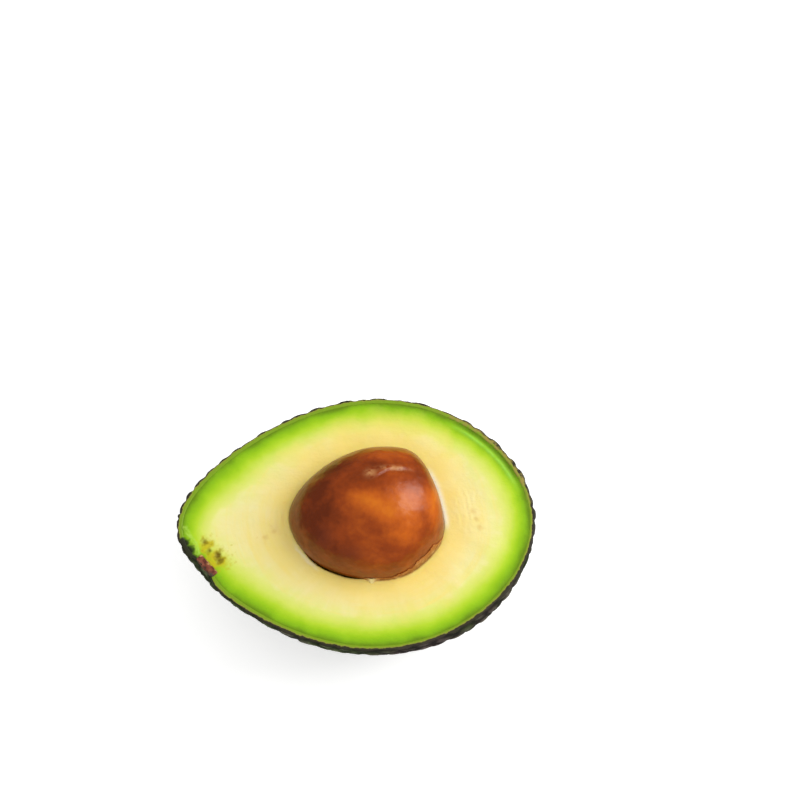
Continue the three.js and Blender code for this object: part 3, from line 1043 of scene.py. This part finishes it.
def coat_piece(material):
    """What is left of the stone's papery coat, a ragged collar on its wall where it goes into the flesh."""
    degrees = np.linspace(COAT_FROM, COAT_TO, COAT_COLUMNS)
    out = round_the_cut(degrees)
    ends = smoothstep(degrees, COAT_FROM, COAT_FROM + 8) * (1 - smoothstep(degrees, COAT_TO - 22, COAT_TO))
    flap = bell((degrees - COAT_FLAP) / 3.0)
    ragged = noise_at(out * 18, 2.6, 3) + 0.3 * noise_at(out * 18, 0.6, 2)
    rise = COAT_LEFT_RISE + (COAT_RISE - COAT_LEFT_RISE) * smoothstep(degrees, -82, -42)
    top = ends * (rise + COAT_RAGGED * ragged) - 0.8 * (1 - ends)
    rows = []
    shares = []
    for thickness in (COAT_THICKNESS, 0):
        steps = range(COAT_STEPS + 1)
        for j in steps if thickness else reversed(steps):
            f = j / COAT_STEPS
            z = -COAT_DEPTH + (top + COAT_DEPTH) * f
            level = np.sqrt(np.clip(1 - (z / STONE_RADIUS) ** 2, 0, 1))
            ripple = COAT_RIPPLE * noise_at(out * 18 + [0, 0, 2 * f], 0.9, 2)
            flare = ends * (COAT_FLARE + ripple) + 1.0 * flap * bell((f - 0.45) / 0.3)
            row = STONE_MIDDLE + out * (stone_radius(out) * level + flare + thickness)[:, None]
            row[:, 2] = z
            rows.append(row)
            shares.append(np.full(COAT_COLUMNS, f))
    rings = len(rows)
    faces = []
    for r in range(rings):
        low, high = r * COAT_COLUMNS, (r + 1) % rings * COAT_COLUMNS
        for k in range(COAT_COLUMNS - 1):
            faces.append((low + k, low + k + 1, high + k + 1, high + k))
    for k in (0, COAT_COLUMNS - 1):
        faces.append(tuple(r * COAT_COLUMNS + k for r in range(rings)))
    attributes = {"out": np.concatenate(shares), "flap": np.tile(flap, rings)}
    made = new_object("stone_coat", to_frame(np.concatenate(rows)), faces, attributes)
    faces_outward(made)
    made.data.materials.append(material)
    return made


BUTTON_COLUMNS = 96
BUTTON_RINGS = 26
BUTTON_DOME = 0.55
BUTTON_LUMPS = 0.16


def button_piece(material):
    """The half disc of cork at the stem end: its cut face, and the domed top that shows on the skin."""
    s = round_the_cut(BUTTON_AT)
    normal = fruit_normal(s)
    sideways = np.cross([0.0, 0.0, 1.0], normal)
    root = fruit_point(s, np.float64(0))
    edge = BUTTON_PROUD - BUTTON_DOME
    outline = [(0.0, -BUTTON_SUNK), (0.92, -BUTTON_SUNK), (1.0, -BUTTON_SUNK + 0.25), (1.0, edge)]
    outline += [(1 - 0.2 * t**2, edge + BUTTON_DOME * math.sin(t * math.pi / 2)) for t in (0.3, 0.6, 0.85, 1)]
    outline += [(0.6, BUTTON_PROUD - 0.12), (0.35, BUTTON_PROUD - 0.3), (0.0, BUTTON_PROUD - 0.36)]
    path = resample(np.array(outline), BUTTON_RINGS)
    sweep = -np.arange(BUTTON_COLUMNS + 1) / BUTTON_COLUMNS * math.pi
    rows = []
    for share, depth in path:
        radius = share * BUTTON_RADIUS
        ring = root + normal * depth + np.outer(np.cos(sweep) * radius, sideways)
        ring[:, 2] += np.sin(sweep) * radius
        rows.append(ring)
    points = np.concatenate(rows)
    lumps = noise_at(points, 0.9, 3) * BUTTON_LUMPS
    middle = root + normal * (-BUTTON_SUNK / 2)
    points = points + unit(points - middle) * np.clip(lumps - 0.05, -0.35, 0.0)[:, None]
    columns = BUTTON_COLUMNS + 1
    faces = []
    for r in range(BUTTON_RINGS - 1):
        for k in range(BUTTON_COLUMNS):
            low, high = r * columns + k, (r + 1) * columns + k
            faces.append((low, low + 1, high + 1, high))
    points, faces = add_cut_face(points, faces, columns)
    sunk = -(points - root) @ normal
    made = new_object("stem_button_cork", to_frame(points), faces, {"sunk": sunk})
    faces_outward(made)
    made.data.materials.append(material)
    return made


def resample(outline, count):
    """Points spread evenly along a broken line."""
    lengths = np.concatenate([[0], np.cumsum(np.linalg.norm(np.diff(outline, axis=0), axis=1))])
    places = np.linspace(0, lengths[-1], count)
    return np.stack([np.interp(places, lengths, outline[:, i]) for i in (0, 1)], axis=-1)


CUT_FACE_STEPS = 24
CUT_FACE_ROUGHNESS = 0.3


def add_cut_face(points, faces, columns):
    """Closes the button's level cut with a fine rough grid between its two edges."""
    grid = []
    extra = []
    for r in range(len(points) // columns):
        a, b = r * columns, (r + 1) * columns - 1
        row = [a]
        for j in range(1, CUT_FACE_STEPS):
            f = j / CUT_FACE_STEPS
            p = points[a] * (1 - f) + points[b] * f
            extra.append(p)
            row.append(len(points) + len(extra) - 1)
        grid.append(row + [b])
    extra = np.array(extra)
    extra[:, 2] += np.clip(noise_at(extra, 0.8, 3), -1, 0.1) * CUT_FACE_ROUGHNESS
    for low, high in zip(grid, grid[1:]):
        for j in range(CUT_FACE_STEPS):
            faces.append((low[j], high[j], high[j + 1], low[j + 1]))
    return np.concatenate([points, extra]), faces


# Stage

VIEW_ELEVATION = math.radians(74)
VIEW_DISTANCE = 600
AIM = np.array([0.4, -0.5])
AIM_PIXEL = (358.2, 524.6)
FRAME_SIZE = 800
PIXELS_PER_MM = 3.73
SENSOR = 36.0


def add_camera():
    """Looks down at the cut from the front, turned so that the half is left of and below the middle."""
    data = bpy.data.cameras.new("camera")
    data.sensor_width = SENSOR
    data.lens = PIXELS_PER_MM * VIEW_DISTANCE / FRAME_SIZE * SENSOR
    data.clip_start = 0.01
    back = Vector((0, -math.cos(VIEW_ELEVATION), math.sin(VIEW_ELEVATION)))
    right = Vector((1, 0, 0))
    up = back.cross(right)
    aim = Vector((AIM[0] * MM, AIM[1] * MM, CUT_HEIGHT))
    shift_right = (FRAME_SIZE / 2 - AIM_PIXEL[0]) / PIXELS_PER_MM * MM
    shift_up = (AIM_PIXEL[1] - FRAME_SIZE / 2) / PIXELS_PER_MM * MM
    camera = bpy.data.objects.new("camera", data)
    camera.location = aim + back * VIEW_DISTANCE * MM
    target = aim + right * shift_right + up * shift_up
    behind = (camera.location - target).normalized()
    sideways = (right - behind * right.dot(behind)).normalized()
    camera.rotation_euler = Matrix((sideways, behind.cross(sideways), behind)).transposed().to_euler()
    bpy.context.scene.collection.objects.link(camera)
    bpy.context.scene.camera = camera


def add_softbox(name, direction, distance, size, watts):
    """A square area light in metres that looks at the half."""
    data = bpy.data.lights.new(name, "AREA")
    data.shape = "SQUARE"
    data.size = size
    data.energy = watts
    light = bpy.data.objects.new(name, data)
    target = Vector((0, 0, CUT_HEIGHT))
    light.location = target + Vector(direction).normalized() * distance
    light.rotation_euler = (target - light.location).to_track_quat("-Z", "Y").to_euler()
    bpy.context.scene.collection.objects.link(light)


KEY_DIRECTION = (0.76, 0.24, 0.6)
KEY_DISTANCE = 0.9  # in metres
KEY_SIZE = 0.6  # in metres
KEY_WATTS = 4.7
FLOOR_SIZE = 3.0  # in metres, from its middle to each edge
SKY_STRENGTH = 0.85
SKY_REFLECTED = 0.05


def add_world():
    """An even white surround, which shiny surfaces mirror only faintly."""
    world = bpy.data.worlds.new("studio")
    world.use_nodes = True
    tree = world.node_tree
    background = tree.nodes["Background"]
    background.inputs["Color"].default_value = (1.0, 1.0, 1.0, 1.0)
    mirrored = add_node(tree, "ShaderNodeLightPath").outputs["Is Glossy Ray"]
    strength = rescale(tree, mirrored, 0.0, 1.0, SKY_STRENGTH, SKY_REFLECTED)
    tree.links.new(strength, background.inputs["Strength"])
    world.cycles.sampling_method = "NONE"
    bpy.context.scene.world = world


def add_stage():
    corners = FLOOR_SIZE * np.array([[-1, -1, 0], [1, -1, 0], [1, 1, 0], [-1, 1, 0]])
    floor = new_object("floor", corners, [(0, 1, 2, 3)])
    floor.data.materials.append(floor_material())
    floor.visible_glossy = False
    add_softbox("key", KEY_DIRECTION, KEY_DISTANCE, KEY_SIZE, KEY_WATTS)
    add_world()
    bpy.context.scene.view_settings.view_transform = "Standard"


def stand_for(piece, node):
    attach(piece, "root")
    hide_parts(node)


add_camera()
add_stage()
stand_for(keep_inside(skin_piece(skin_material()), "skin"), "skin")
stand_for(flesh_piece(flesh_material()), "flesh")
stand_for(keep_inside(stone_piece(stone_material()), "stone"), "stone")
stand_for(button_piece(button_material()), "stem_button")
coat = coat_piece(coat_material())
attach(coat, "root")
